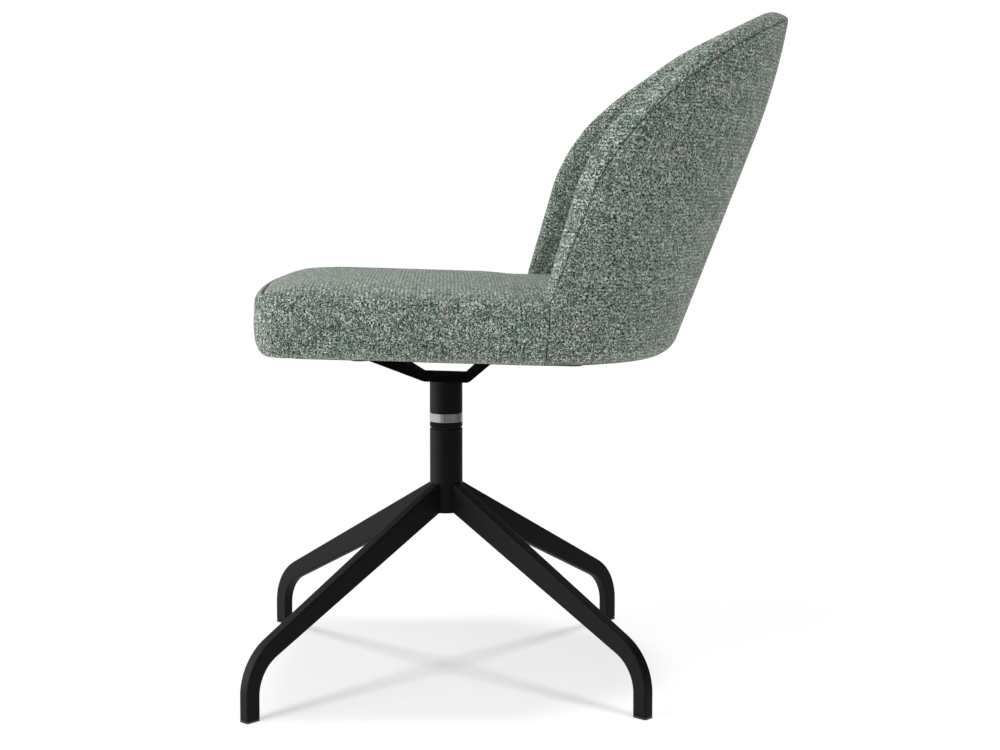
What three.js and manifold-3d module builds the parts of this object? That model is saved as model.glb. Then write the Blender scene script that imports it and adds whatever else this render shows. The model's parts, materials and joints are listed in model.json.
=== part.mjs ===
// Swivel dining chair: an upholstered seat and wrapped back on a four-legged steel swivel base.
// Millimetres, +Z up. The sitter faces -Y and has +X on the left hand.
// The origin is on the floor, below the middle of the chair.

import * as THREE from "three";
import { mergeVertices } from "three/addons/utils/BufferGeometryUtils.js";
import Module from "manifold-3d";

const wasm = await Module();
wasm.setup();

// Clearances and facet counts
const fit = 0.3;           // gap between pieces that touch
const overrun = 4;         // how far a cutting solid runs past what it cuts
const tubeSides = 36;
const hiddenSides = 24;
const screwSides = 14;

// Pedestal: the fixed tube that the legs are welded to
const pedestal = { radius: 20, wall: 3, bottom: 193, top: 296, edge: 0.8 };
const endCap = { thickness: 3, plug: 6, lip: 1.5 };

// Legs: pressed box sections, deep at the pedestal, bent down to a narrow foot
const leg = {
  footCentre: 309.5,       // swivel axis to the middle of a foot
  footDepth: 18.4, width: 14, wall: 2, edge: 2,
  hubTop: 229, hubBottom: 192,
  topFallShare: 0.538, bottomFallShare: 0.489,
  outerBend: 67, innerBend: 45
};
const glide = { thickness: 3, plug: 12, corner: 2 };

// Swivel bearing: a shouldered spindle turns in two bushes and hangs on a washer
const spindle = { radius: 11, headRadius: 16.6, headTop: 345, bottom: 209, edge: 1 };
const bush = { length: 16 };
const lowerBushBottom = 212;
const thrust = { thickness: 0.9, radius: 18 };
const collar = { thickness: 6.2, edge: 0.7 };
const trimRing = { height: 11.3, proud: 0.3, edge: 0.6 };
const stopWasher = { radius: 15.5, thickness: 2.2 };
const stopBolt = { radius: 4, headRadius: 6.5, headHeight: 5, grip: 20 };

// Seat unit: everything above the upper tube leans back by this angle
const seatLean = 0.032;
const upperTube = { wall: 3, top: 356.4 };

// Bent four-armed bracket, pressed from one plate: arms splay out ahead of two straight bends and behind them
const bracket = {
  thickness: 5, width: 80, length: 54, corner: 8, waistCorner: 2, insideBend: 3,
  frontRiseShare: 0.47, rearRiseShare: 0.93, frontLand: 20, rearLand: 25,
  frontSplayShare: 1, rearSplayShare: 0.25, frontNotch: 16, rearNotch: 6
};

// Mounting plate, its screws and the tee nuts in the seat board
const plate = { length: 269, width: 300, thickness: 4, corner: 14, setBack: 20.5 };
const bolt = { radius: 3, headRadius: 6, headHeight: 3.2, frontReach: 62, rearReach: 118, spread: 110 };
const teeNut = { flangeRadius: 9.5, flange: 1.5, barrelRadius: 4.2, barrel: 9 };

// Upholstered seat
const dustCover = { thickness: 2.4, hemShow: 36, corner: 30 };
const board = { thickness: 12, margin: 28.5, corner: 22 };
const cushion = {
  underside: 42.5, halfWidth: 228, frontReach: 225, frontBow: 8, frontSag: 4, corner: 44,
  seamHeight: 111.5, seamInset: 8.5, groove: 2, crown: 15, backGap: 2, bottomRoll: 26, bottomRollHeight: 34
};
const joint = { cushionY: 110, shellGap: 1, tuck: 3.5 };

// Wrapped back. Its outer face leans back in plan sections that are half ellipses with straight sides.
const shell = {
  halfWidth: 228, planDepth: 175, rearReach: 271,
  rakeShare: 0.352, uprightFrom: 300, uprightRadius: 850,
  hem: 20, hemCloth: 2.5,
  archHalf: 329, springing: 235, crown: 448,
  panel: 5, core: 10, thickness: 38.5, coreInset: 15, seam: 0.6
};

// The pad's rolled edge stands this far past the shell's edge, at these heights above the bracket
const roll = {
  seatReach: 8, shoulderReach: 26, rimReach: 13.5,
  seatHeight: 120, shoulderHeight: 305, shoulderEnd: 318, rimHeight: 385
};
const rail = { depth: 34, height: 22, spanShare: 0.6, screwShare: 0.76 };
const railScrew = { radius: 2, headRadius: 4.2, headHeight: 2.4, bite: 17 };

// Finishes
const blackCoat = new THREE.MeshStandardMaterial({ color: 0x1b1b1c, roughness: 0.55, metalness: 0.3 });
const brushedSteel = new THREE.MeshStandardMaterial({ color: 0xb4b4b2, roughness: 0.3, metalness: 1 });
const bareSteel = new THREE.MeshStandardMaterial({ color: 0x8c8e90, roughness: 0.4, metalness: 1 });
const blackPlastic = new THREE.MeshStandardMaterial({ color: 0x161616, roughness: 0.6, metalness: 0 });
const bushPlastic = new THREE.MeshStandardMaterial({ color: 0xd8d4c8, roughness: 0.5, metalness: 0 });
const plywood = new THREE.MeshStandardMaterial({ color: 0xc49a6a, roughness: 0.7, metalness: 0 });
const dustCloth = new THREE.MeshStandardMaterial({ color: 0x141414, roughness: 0.95, metalness: 0 });
const melange = new THREE.MeshStandardMaterial({ color: 0x7f8f85, roughness: 0.95, metalness: 0 });

// Turns a geometry into a welded, closed mesh with its faces pointing out
function welded(geometry) {
  const bare = geometry.clone();
  bare.deleteAttribute("normal");
  bare.deleteAttribute("uv");
  const mesh = mergeVertices(bare);
  const position = mesh.attributes.position;
  const index = mesh.index.array;
  const corners = [new THREE.Vector3(), new THREE.Vector3(), new THREE.Vector3()];
  const kept = [];
  let volume = 0;
  for (let i = 0; i < index.length; i += 3) {
    const [a, b, c] = [index[i], index[i + 1], index[i + 2]];
    if (a === b || b === c || c === a) continue;
    kept.push(a, b, c);
    corners.forEach((corner, k) => corner.fromBufferAttribute(position, index[i + k]));
    volume += corners[0].dot(corners[1].clone().cross(corners[2]));
  }
  if (volume < 0) kept.reverse();
  mesh.setIndex(kept);
  return mesh;
}

function solidOf(geometry) {
  const mesh = welded(geometry);
  return new wasm.Manifold(new wasm.Mesh({
    numProp: 3,
    vertProperties: new Float32Array(mesh.attributes.position.array),
    triVerts: new Uint32Array(mesh.index.array)
  }));
}

function geometryOf(solid) {
  const mesh = solid.getMesh();
  const geometry = new THREE.BufferGeometry();
  geometry.setAttribute("position", new THREE.BufferAttribute(mesh.vertProperties, 3));
  geometry.setIndex(Array.from(mesh.triVerts));
  return geometry;
}

function cut(geometry, ...tools) {
  return geometryOf(tools.reduce((solid, tool) => solid.subtract(solidOf(tool)), solidOf(geometry)));
}

function join(first, ...others) {
  return geometryOf(others.reduce((solid, other) => solid.add(solidOf(other)), solidOf(first)));
}

// A turned piece from [radius, height] pairs that go once round its section
function turned(section, sides = tubeSides) {
  const loop = [...section, section[0]].map(([radius, height]) => new THREE.Vector2(radius, height));
  return new THREE.LatheGeometry(loop, sides).rotateX(Math.PI / 2);
}

// A solid disc or pin, with its outer edges broken by `edge`
function disc(radius, bottom, top, edge = 0, sides = tubeSides) {
  const rim = edge > 0
    ? [[radius - edge, bottom], [radius, bottom + edge], [radius, top - edge], [radius - edge, top]]
    : [[radius, bottom], [radius, top]];
  const section = [[0, bottom], ...rim, [0, top]].map(([r, h]) => new THREE.Vector2(r, h));
  return new THREE.LatheGeometry(section, sides).rotateX(Math.PI / 2);
}

function ring(inner, outer, bottom, top, edge = 0, sides = tubeSides) {
  const rim = edge > 0
    ? [[outer - edge, bottom], [outer, bottom + edge], [outer, top - edge], [outer - edge, top]]
    : [[outer, bottom], [outer, top]];
  return turned([[inner, bottom], ...rim, [inner, top]], sides);
}

// A shape through [x, y, radius] corners, each rounded to its radius
function roundedShape(corners) {
  const shape = new THREE.Shape();
  const count = corners.length;
  corners.forEach(([x, y, radius = 0], i) => {
    const here = new THREE.Vector2(x, y);
    const [px, py] = corners[(i + count - 1) % count];
    const [nx, ny] = corners[(i + 1) % count];
    const back = new THREE.Vector2(px, py).sub(here).normalize();
    const ahead = new THREE.Vector2(nx, ny).sub(here).normalize();
    const move = (point) => (i === 0 ? shape.moveTo(point.x, point.y) : shape.lineTo(point.x, point.y));
    if (radius <= 0) {
      move(here);
      return;
    }
    const half = Math.acos(THREE.MathUtils.clamp(back.dot(ahead), -1, 1)) / 2;
    const start = here.clone().addScaledVector(back, radius / Math.tan(half));
    const end = here.clone().addScaledVector(ahead, radius / Math.tan(half));
    const middle = here.clone().addScaledVector(back.clone().add(ahead).normalize(), radius / Math.sin(half));
    const clockwise = back.cross(ahead) > 0;
    move(start);
    shape.absarc(
      middle.x, middle.y, radius,
      Math.atan2(start.y - middle.y, start.x - middle.x),
      Math.atan2(end.y - middle.y, end.x - middle.x),
      clockwise
    );
  });
  return shape;
}

// A flat sheet lying at height `bottom`
function sheet(shape, bottom, thickness, curveSegments = 5) {
  return new THREE.ExtrudeGeometry(shape, { depth: thickness, bevelEnabled: false, curveSegments })
    .translate(0, 0, bottom);
}

// A side profile in (reach, height), extruded across by `width` and centred, with broken edges
function crosswise(shape, width, edge = 0, curveSegments = 8) {
  const options = edge > 0
    ? { depth: width - 2 * edge, bevelThickness: edge, bevelSize: edge, bevelOffset: -edge, bevelSegments: 2 }
    : { depth: width, bevelEnabled: false };
  return new THREE.ExtrudeGeometry(shape, { ...options, curveSegments })
    .translate(0, 0, edge - width / 2)
    .rotateX(Math.PI / 2);
}

// Joins two loops of equal length with a strip of triangles; `turnedAt` picks the diagonal of each square
function bridge(index, from, to, turnedAt = () => false) {
  from.forEach((a, i) => {
    const next = (i + 1) % from.length;
    if (turnedAt(i)) index.push(a, from[next], to[i], from[next], to[next], to[i]);
    else index.push(a, from[next], to[next], a, to[next], to[i]);
  });
}

// A closed solid from a stack of equal loops, each end closed to a middle point
function stacked(loops) {
  const points = [];
  const index = [];
  const add = (point) => points.push(point) - 1;
  const middleOf = (loop) => loop.reduce((sum, p) => sum.add(p), new THREE.Vector3()).divideScalar(loop.length);
  const numbered = loops.map((loop) => loop.map(add));
  for (let i = 1; i < numbered.length; i += 1) bridge(index, numbered[i - 1], numbered[i]);
  const foot = add(middleOf(loops[0]));
  const head = add(middleOf(loops[loops.length - 1]));
  numbered[0].forEach((a, i) => index.push(foot, numbered[0][(i + 1) % numbered[0].length], a));
  const top = numbered[numbered.length - 1];
  top.forEach((a, i) => index.push(head, a, top[(i + 1) % top.length]));
  return meshFrom(points, index);
}

function meshFrom(points, index) {
  const geometry = new THREE.BufferGeometry();
  const flat = points.flatMap((p) => [p.x, p.y, p.z]);
  geometry.setAttribute("position", new THREE.Float32BufferAttribute(flat, 3));
  geometry.setIndex(index);
  return geometry;
}

// Pedestal pieces
function pedestalTube() {
  const { radius, wall, bottom, top, edge } = pedestal;
  return ring(radius - wall, radius, bottom, top, edge);
}

const bore = pedestal.radius - pedestal.wall;

function pedestalEndCap() {
  const outer = bore - fit;
  const top = pedestal.bottom + endCap.thickness + endCap.plug;
  return turned([
    [0, pedestal.bottom], [outer, pedestal.bottom], [outer, top],
    [outer - endCap.lip, top], [outer - endCap.lip, pedestal.bottom + endCap.thickness],
    [0, pedestal.bottom + endCap.thickness]
  ]);
}

// Where a leg's top or bottom line stands at a given reach from the axis, moved inwards by `inset`
function legLine(start, fallShare, reach, inset) {
  return start - fallShare * (reach - pedestal.radius) - inset * Math.hypot(1, fallShare);
}

function legProfile(inset, hubReach, footHeight) {
  const outer = leg.footCentre + leg.footDepth / 2 - inset;
  const inner = leg.footCentre - leg.footDepth / 2 + inset;
  return roundedShape([
    [hubReach, legLine(leg.hubTop, leg.topFallShare, hubReach, inset)],
    [outer, legLine(leg.hubTop, leg.topFallShare, outer, inset), leg.outerBend - inset],
    [outer, footHeight],
    [inner, footHeight],
    [inner, legLine(leg.hubBottom, leg.bottomFallShare, inner, -inset), leg.innerBend + inset],
    [hubReach, legLine(leg.hubBottom, leg.bottomFallShare, hubReach, -inset)]
  ]);
}

function legBody() {
  const hubReach = pedestal.radius / 2;
  const body = crosswise(legProfile(0, hubReach, glide.thickness), leg.width, leg.edge);
  const hollow = crosswise(legProfile(leg.wall, hubReach - overrun, 0), leg.width - 2 * leg.wall);
  const tubeSpace = disc(pedestal.radius + fit, 0, leg.hubTop + pedestal.radius);
  return cut(body, hollow, tubeSpace);
}

function footGlide() {
  const pad = roundedRectangle(leg.footDepth, leg.width, glide.corner);
  const slack = 2 * (leg.wall + fit);
  const plug = roundedRectangle(leg.footDepth - slack, leg.width - slack, glide.corner / 2);
  return join(
    sheet(pad, 0, glide.thickness - fit),
    sheet(plug, glide.thickness / 2, glide.thickness / 2 + glide.plug)
  ).translate(leg.footCentre, 0, 0);
}

function roundedRectangle(length, width, corner) {
  const [x, y] = [length / 2, width / 2];
  return roundedShape([[-x, -y, corner], [x, -y, corner], [x, y, corner], [-x, y, corner]]);
}

// Swivel pieces, stacked upwards from the top of the pedestal
const thrustBottom = pedestal.top + fit;
const collarBottom = thrustBottom + thrust.thickness + fit;
const ringBottom = collarBottom + collar.thickness + fit;
const upperTubeBottom = ringBottom + trimRing.height + fit;
const upperBushBottom = pedestal.top - bush.length;

function plainBush(bottom) {
  return ring(spindle.radius + fit, bore - fit, bottom, bottom + bush.length, 0, hiddenSides);
}

function thrustWasher() {
  return ring(spindle.radius + fit, thrust.radius, thrustBottom, thrustBottom + thrust.thickness);
}

function swivelCollar() {
  const { thickness, edge } = collar;
  return ring(spindle.radius + fit, pedestal.radius, collarBottom, collarBottom + thickness, edge);
}

function steelTrimRing() {
  const { height, proud, edge } = trimRing;
  return ring(spindle.headRadius + fit, pedestal.radius + proud, ringBottom, ringBottom + height, edge);
}

// The upper tube's top is cut to the lean of the seat
function upperTubeBody() {
  const inner = pedestal.radius - upperTube.wall;
  const blank = ring(inner, pedestal.radius, upperTubeBottom, upperTube.top + overrun);
  const reach = pedestal.radius + overrun;
  const above = new THREE.BoxGeometry(2 * reach, 2 * reach, 2 * reach)
    .translate(0, 0, reach - fit)
    .rotateX(-seatLean)
    .translate(0, 0, upperTube.top);
  return cut(blank, above);
}

const boltHoleDepth = stopBolt.grip + overrun;

function spindleBody() {
  const { radius, headRadius, headTop, bottom, edge } = spindle;
  const shoulder = ringBottom;
  const hole = stopBolt.radius + fit;
  return turned([
    [0, bottom + boltHoleDepth], [hole, bottom + boltHoleDepth], [hole, bottom],
    [radius - edge, bottom], [radius, bottom + edge], [radius, shoulder],
    [headRadius, shoulder], [headRadius, headTop - edge], [headRadius - edge, headTop], [0, headTop]
  ], hiddenSides);
}

function retainingWasher() {
  const top = spindle.bottom - fit;
  return ring(stopBolt.radius + fit, stopWasher.radius, top - stopWasher.thickness, top, 0, hiddenSides);
}

function retainingBolt() {
  const seatZ = spindle.bottom - 2 * fit - stopWasher.thickness;
  const middle = seatZ - stopBolt.headHeight / 2;
  const head = new THREE.CylinderGeometry(stopBolt.headRadius, stopBolt.headRadius, stopBolt.headHeight, 6)
    .rotateX(Math.PI / 2)
    .translate(0, 0, middle);
  const shank = disc(stopBolt.radius, middle, spindle.bottom + stopBolt.grip, 0, screwSides);
  return join(head, shank);
}

const bendSegments = 4;

// One end of the bracket from the side: out along its underside, and back along its top
function bracketEnd(end, riseShare, land) {
  const { thickness: t, length, insideBend } = bracket;
  const rise = plateBottom - fit - t;
  const shift = t * Math.tan(Math.atan(riseShare) / 2);
  const bend = length / 2;
  const knee = bend + rise / riseShare;
  return [
    [end * bend, 0, insideBend + t], [end * knee, rise, insideBend], [end * (knee + land), rise],
    [end * (knee + land), rise + t], [end * (knee - shift), rise + t, insideBend + t],
    [end * (bend - shift), t, insideBend]
  ];
}

// One pair of arms in plan, from one side to the other, with the notch between them
function bracketArms(end, splayShare, notch, reach) {
  const { width, length, corner, waistCorner } = bracket;
  const run = reach - length / 2;
  const [outerX, innerX] = [width / 2 + splayShare * run, splayShare * (run - notch)];
  return [
    [width / 2, end * length / 2, waistCorner], [outerX, end * reach, corner], [innerX, end * reach, corner],
    [0, end * (length / 2 + notch), corner / 2],
    [-innerX, end * reach, corner], [-outerX, end * reach, corner], [-width / 2, end * length / 2, waistCorner]
  ];
}

function seatBracket() {
  const { frontSplayShare, rearSplayShare, frontNotch, rearNotch } = bracket;
  const front = bracketEnd(-1, bracket.frontRiseShare, bracket.frontLand);
  const rear = bracketEnd(1, bracket.rearRiseShare, bracket.rearLand);
  const [frontReach, rearReach] = [-front[2][0], rear[2][0]];
  const profile = roundedShape([...rear, ...front.reverse()]);
  const spread = bracket.width + 2 * frontReach;
  const pressed = crosswise(profile, spread, 0, bendSegments).rotateZ(Math.PI / 2);
  const plan = roundedShape([
    ...bracketArms(1, rearSplayShare, rearNotch, rearReach),
    ...bracketArms(-1, frontSplayShare, frontNotch, frontReach).reverse()
  ]);
  const blank = sheet(plan, -overrun, plateBottom + overrun, bendSegments);
  return geometryOf(solidOf(pressed).intersect(solidOf(blank)));
}

// Places of the four plate bolts in the seat unit's own frame
const boltPlaces = [
  ["front_left", bolt.spread, -bolt.frontReach], ["front_right", -bolt.spread, -bolt.frontReach],
  ["rear_left", bolt.spread, bolt.rearReach], ["rear_right", -bolt.spread, bolt.rearReach]
];
const dustTop = cushion.underside - fit;
const plateTop = dustTop - dustCover.thickness - fit;
const plateBottom = plateTop - plate.thickness;
const boardTop = cushion.underside + board.thickness;

function boltHoles(radius, bottom, top) {
  const hole = disc(radius, bottom - overrun, top + overrun, 0, screwSides);
  return boltPlaces.map(([, x, y]) => hole.clone().translate(x, y, 0));
}

function mountingPlate() {
  const outline = roundedRectangle(plate.width, plate.length, plate.corner);
  const blank = sheet(outline, plateBottom, plate.thickness).translate(0, plate.setBack, 0);
  return cut(blank, ...boltHoles(bolt.radius + fit, plateBottom, plateTop));
}

function plateBolt() {
  const { radius, headRadius, headHeight } = bolt;
  const seatZ = plateBottom - fit;
  return turned([
    [0, seatZ - headHeight], [headRadius / 2, seatZ - headHeight], [headRadius, seatZ - headHeight / 3],
    [headRadius, seatZ], [radius, seatZ], [radius, boardTop], [0, boardTop]
  ], screwSides);
}

function teeNutBody() {
  const { flangeRadius, flange, barrelRadius, barrel } = teeNut;
  const inner = bolt.radius + fit;
  const seatZ = boardTop + fit;
  return turned([
    [inner, seatZ - barrel], [barrelRadius, seatZ - barrel], [barrelRadius, seatZ],
    [flangeRadius, seatZ], [flangeRadius, seatZ + flange], [inner, seatZ + flange]
  ], screwSides);
}

// How far the rear of the shell's outer face stands behind the swivel axis at a given height
function rearReachAt(height) {
  const bend = Math.max(0, height - shell.uprightFrom);
  const raked = shell.rearReach + shell.rakeShare * (height - cushion.underside);
  return raked - bend * bend / (2 * shell.uprightRadius);
}

const quarterWrap = (Math.PI / 2) * Math.hypot(shell.halfWidth, shell.planDepth) / Math.SQRT2;

// How far the outer face rolls inwards at its lower hem
function hemRoll(height) {
  const drop = Math.max(0, cushion.underside + shell.hem - height);
  return shell.hem - Math.sqrt(Math.max(0, shell.hem ** 2 - drop ** 2));
}

// A point of the wrapped back: `wrap` is measured round it from the rear, `depth` inwards from its outer face
function shellPoint(wrap, height, depth) {
  const centreY = rearReachAt(height) - shell.planDepth;
  const side = Math.sign(wrap);
  const beyond = Math.abs(wrap) - quarterWrap;
  if (beyond > 0) return new THREE.Vector3(side * (shell.halfWidth - depth), centreY - beyond, height);
  const angle = (Math.PI / 2) * wrap / quarterWrap;
  const normal = new THREE.Vector2(Math.sin(angle) / shell.halfWidth, Math.cos(angle) / shell.planDepth);
  normal.normalize();
  return new THREE.Vector3(
    shell.halfWidth * Math.sin(angle) - depth * normal.x,
    centreY + shell.planDepth * Math.cos(angle) - depth * normal.y,
    height
  );
}

// The shell's edge, measured round it: the arch's springing width, or where its front end meets the seat
function wrapLimit(height) {
  const atSeat = quarterWrap + rearReachAt(height) - shell.planDepth - joint.cushionY - joint.shellGap;
  return Math.min(shell.archHalf, atSeat);
}

// Place on the shell's lattice: `across` runs from -1 to 1 round it, `up` from 0 to 1 from hem to rim
function latticePlace(across, up, inset) {
  const angle = across * Math.PI / 2;
  const top = shell.springing + (shell.crown - shell.springing - inset) * Math.cos(angle);
  return edgePlace(across, hemTop + (top - hemTop) * up, inset);
}

function edgePlace(across, height, inset) {
  return { wrap: (wrapLimit(height) - inset) * Math.sin(across * Math.PI / 2), height };
}

const lattice = { columns: 24, rows: 9 };
const columnShares = Array.from({ length: lattice.columns + 1 }, (_, i) => 2 * i / lattice.columns - 1);
const rowShares = Array.from({ length: lattice.rows + 1 }, (_, j) => j / lattice.rows);

// Lattice places once round a panel's edge: along its bottom, up the left side, over the rim, down the right
function edgePlaces(firstRow) {
  const columns = columnShares.map((across, i) => ({ across, i }));
  const rows = rowShares.map((up, j) => ({ up, j })).slice(firstRow);
  const [first, top] = [rows[0], rows[rows.length - 1]];
  return [
    ...columns.map((column) => ({ ...column, ...first })),
    ...rows.slice(1).map((row) => ({ ...columns[lattice.columns], ...row })),
    ...columns.slice(0, -1).reverse().map((column) => ({ ...column, ...top })),
    ...rows.slice(1, -1).reverse().map((row) => ({ ...columns[0], ...row }))
  ];
}

// A closed panel of the shell between two lattice faces, joined round the edge by the rings between them.
// Its diagonals mirror across the chair, and two panels whose edges face each other turn them opposite ways.
function shellPanel(outerDepth, rings, innerDepth, firstRow = 0, opposite = false) {
  const points = [];
  const index = [];
  const add = (point) => points.push(point) - 1;
  const face = (depth) => rowShares.map((up, j) => columnShares.map((across) => {
    const { wrap, height } = latticePlace(across, up, shell.coreInset);
    return j < firstRow ? -1 : add(shellPoint(wrap, height, depth(height)));
  }));
  const fill = (grid, outward) => {
    for (let j = firstRow; j < lattice.rows; j += 1) {
      for (let i = 0; i < lattice.columns; i += 1) {
        const square = [grid[j][i], grid[j][i + 1], grid[j + 1][i + 1], grid[j + 1][i]];
        if (2 * i < lattice.columns) square.push(square.shift());
        const [a, b, c, d] = square;
        if (outward) index.push(a, b, c, a, c, d);
        else index.push(a, c, b, a, d, c);
      }
    }
  };
  const outer = face(outerDepth);
  const inner = face(innerDepth);
  fill(outer, true);
  fill(inner, false);
  const edge = edgePlaces(firstRow);
  const loops = [
    edge.map(({ i, j }) => outer[j][i]),
    ...rings.map((ringAt) => edge.map((place) => add(ringAt(place)))),
    edge.map(({ i, j }) => inner[j][i])
  ];
  const turnedAt = (i) => (edge[i].across + edge[(i + 1) % edge.length].across < 0) !== opposite;
  for (let k = 1; k < loops.length; k += 1) bridge(index, loops[k], loops[k - 1], turnedAt);
  return meshFrom(points, index);
}

const constant = (depth) => () => depth;
const hemTop = boardTop + fit;
const hemShares = [0.45, 0.78, 0.94, 1];

// Outer panel: thin padding and cloth, rolled under at the hem
function backOuterPanel() {
  const spread = shell.coreInset - shell.seam;
  const insideOf = (height) => Math.max(shell.panel, hemRoll(height) + shell.hemCloth);
  const ringAt = (share, depthOf) => ({ across, up, j }) => {
    const inset = shell.coreInset - spread * share;
    const place = j > 0
      ? latticePlace(across, up, inset)
      : edgePlace(across, hemTop - (hemTop - cushion.underside) * share, inset);
    return shellPoint(place.wrap, place.height, depthOf(place.height));
  };
  const rings = [
    ...hemShares.map((share) => ringAt(share, hemRoll)),
    ...hemShares.slice().reverse().map((share) => ringAt(share, insideOf))
  ];
  return shellPanel(hemRoll, rings, insideOf);
}

const coreOuter = shell.panel + fit;
const coreInner = coreOuter + shell.core;

function backCore() {
  return shellPanel(constant(coreOuter), [], constant(coreInner));
}

// How much of its roll the pad's edge has: none where it butts against the seat, all of it above
function rollShare(height) {
  const middle = roll.seatHeight;
  return THREE.MathUtils.smoothstep(height, middle - shell.coreInset, middle + shell.coreInset);
}

// How far the rolled edge stands past the shell's edge: most at the shoulder of the wings
function rollReach(height) {
  const { seatReach, shoulderReach, rimReach, seatHeight, shoulderHeight, shoulderEnd, rimHeight } = roll;
  if (height > shoulderEnd) {
    const fall = THREE.MathUtils.smoothstep(height, shoulderEnd, rimHeight);
    return THREE.MathUtils.lerp(shoulderReach, rimReach, fall);
  }
  const share = THREE.MathUtils.clamp((height - seatHeight) / (shoulderHeight - seatHeight), 0, 1);
  return THREE.MathUtils.lerp(seatReach, shoulderReach, share);
}

// The pad's rolled edge in section, as shares of its reach and of the shell's thickness
const rollSection = [[0.22, 0.05], [0.48, 0.18], [0.84, 0.4], [1, 0.66], [0.8, 0.88], [0.34, 0.98]];
const padOuter = coreInner + fit;
const lip = shell.coreInset - fit;

// The pad laps over the core's edge, so its ring runs out along the core, round the roll and back
function backInnerPad() {
  const { thickness, coreInset } = shell;
  const firstRow = 1;
  const sections = [
    () => [lip, padOuter],
    () => [lip, coreOuter],
    () => [0, coreOuter],
    (share) => [0, THREE.MathUtils.lerp(coreOuter + fit, fit, share)],
    ...rollSection.map(([out, deep]) => (share, height) => [
      -out * share * rollReach(height),
      thickness * THREE.MathUtils.lerp(flatDepthShare(deep), deep, share)
    ]),
    () => [coreInset / 2, thickness]
  ];
  const ringAt = (section, k) => ({ across, up, j }) => {
    if (j === firstRow) {
      const depth = THREE.MathUtils.lerp(padOuter, thickness, (k + 1) / (sections.length + 1));
      const { wrap, height } = latticePlace(across, up, coreInset);
      return shellPoint(wrap, height, depth);
    }
    const upright = latticePlace(across, up, 0);
    const [inset, depth] = section(rollShare(upright.height), upright.height);
    const { wrap, height } = latticePlace(across, up, inset);
    return shellPoint(wrap, height, depth);
  };
  return shellPanel(constant(padOuter), sections.map(ringAt), constant(thickness), firstRow, true);
}

// Depth shares of the edge where it is flat, spread from behind the outer panel to the inner face
function flatDepthShare(deep) {
  const first = (coreOuter + 2 * fit) / shell.thickness;
  return THREE.MathUtils.lerp(first, 1, deep);
}

// Curved rail on the seat board that the core is glued and screwed to
function railSolid(slack) {
  const faces = [padOuter + fit - slack, padOuter + rail.depth + slack];
  const heights = [hemTop - slack, hemTop + rail.height + slack];
  const spanned = columnShares.filter((across) => Math.abs(across) < rail.spanShare);
  return stacked(spanned.map((across) => (
    [[0, 0], [0, 1], [1, 1], [1, 0]].map(([up, deep]) => {
      const wrap = (wrapLimit(heights[up]) - shell.coreInset) * Math.sin(across * Math.PI / 2);
      return shellPoint(wrap + slack * Math.sign(across), heights[up], faces[deep]);
    })
  )));
}

function backRail() {
  const holes = railScrewPlaces.map((place) => railScrewShank(fit).translate(place.x, place.y, 0));
  return cut(railSolid(0), ...holes);
}

const railScrewShares = [-0.62, -0.22, 0.22, 0.62];
const railScrewNames = ["far_right", "mid_right", "mid_left", "far_left"];
const railScrewPlaces = railScrewShares.map((share) => {
  const depth = padOuter + rail.depth * rail.screwShare;
  return shellPoint(share * wrapLimit(hemTop), hemTop, depth);
});

// The shank with some slack, long enough for its hole as well
function railScrewShank(slack) {
  const { radius, bite } = railScrew;
  return disc(radius + slack, cushion.underside - overrun, boardTop + bite + slack, 0, screwSides);
}

function railScrewBody() {
  const { radius, headRadius, headHeight, bite } = railScrew;
  const bottom = cushion.underside + fit;
  return turned([
    [0, bottom], [headRadius, bottom], [radius, bottom + headHeight], [radius, boardTop + bite - radius],
    [0, boardTop + bite]
  ], screwSides);
}

function railScrewSink() {
  const { radius, headRadius, headHeight } = railScrew;
  const bottom = cushion.underside;
  return turned([
    [0, bottom - overrun], [headRadius + 2 * fit, bottom - overrun], [headRadius + 2 * fit, bottom + fit],
    [radius + fit, bottom + headHeight + 2 * fit], [0, bottom + headHeight + 2 * fit]
  ], screwSides);
}

// Outline of the seat, drawn in by `inset`: a bowed front and straight sides. Its tail between the wings
// is drawn in by `tailInset`.
const outlineSteps = { front: 6, corner: 4, side: 4, tail: 12 };

function seatOutline(height, inset, sag = 0, tailInset = inset) {
  const { halfWidth, frontReach, frontBow, corner, backGap } = cushion;
  const x = halfWidth - inset;
  const radius = corner - Math.min(inset, corner / 2);
  const y = frontReach - inset;
  const tailDepth = shell.thickness + backGap + tailInset;
  const right = [];
  for (let i = 0; i < outlineSteps.front / 2; i += 1) {
    const share = 2 * i / outlineSteps.front;
    right.push([(x - radius) * share, -y + frontBow * share ** 2]);
  }
  for (let i = 0; i <= outlineSteps.corner; i += 1) {
    const angle = (Math.PI / 2) * i / outlineSteps.corner;
    const drop = radius * (1 - Math.cos(angle));
    right.push([x - radius + radius * Math.sin(angle), -y + frontBow + drop]);
  }
  const shoulder = joint.cushionY - tailInset;
  const sideStart = -y + frontBow + radius;
  for (let i = 1; i <= outlineSteps.side; i += 1) {
    right.push([x, THREE.MathUtils.lerp(sideStart, shoulder, i / outlineSteps.side)]);
  }
  const wrapEnd = quarterWrap + rearReachAt(height) - shell.planDepth - shoulder;
  for (let i = 0; i <= outlineSteps.tail; i += 1) {
    const point = shellPoint(wrapEnd * (1 - i / outlineSteps.tail), height, tailDepth);
    right.push([point.x, point.y]);
  }
  const left = right.slice(1, -1).reverse().map(([px, py]) => [-px, py]);
  return [...right, ...left].map(([px, py]) => new THREE.Vector3(px, py, height - sag * frontShare(py) ** 2));
}

// Rises from 0 at the middle of the seat's front half to 1 at its front edge
function frontShare(y) {
  return THREE.MathUtils.clamp(-2 * y / cushion.frontReach - 1, 0, 1);
}

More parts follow.
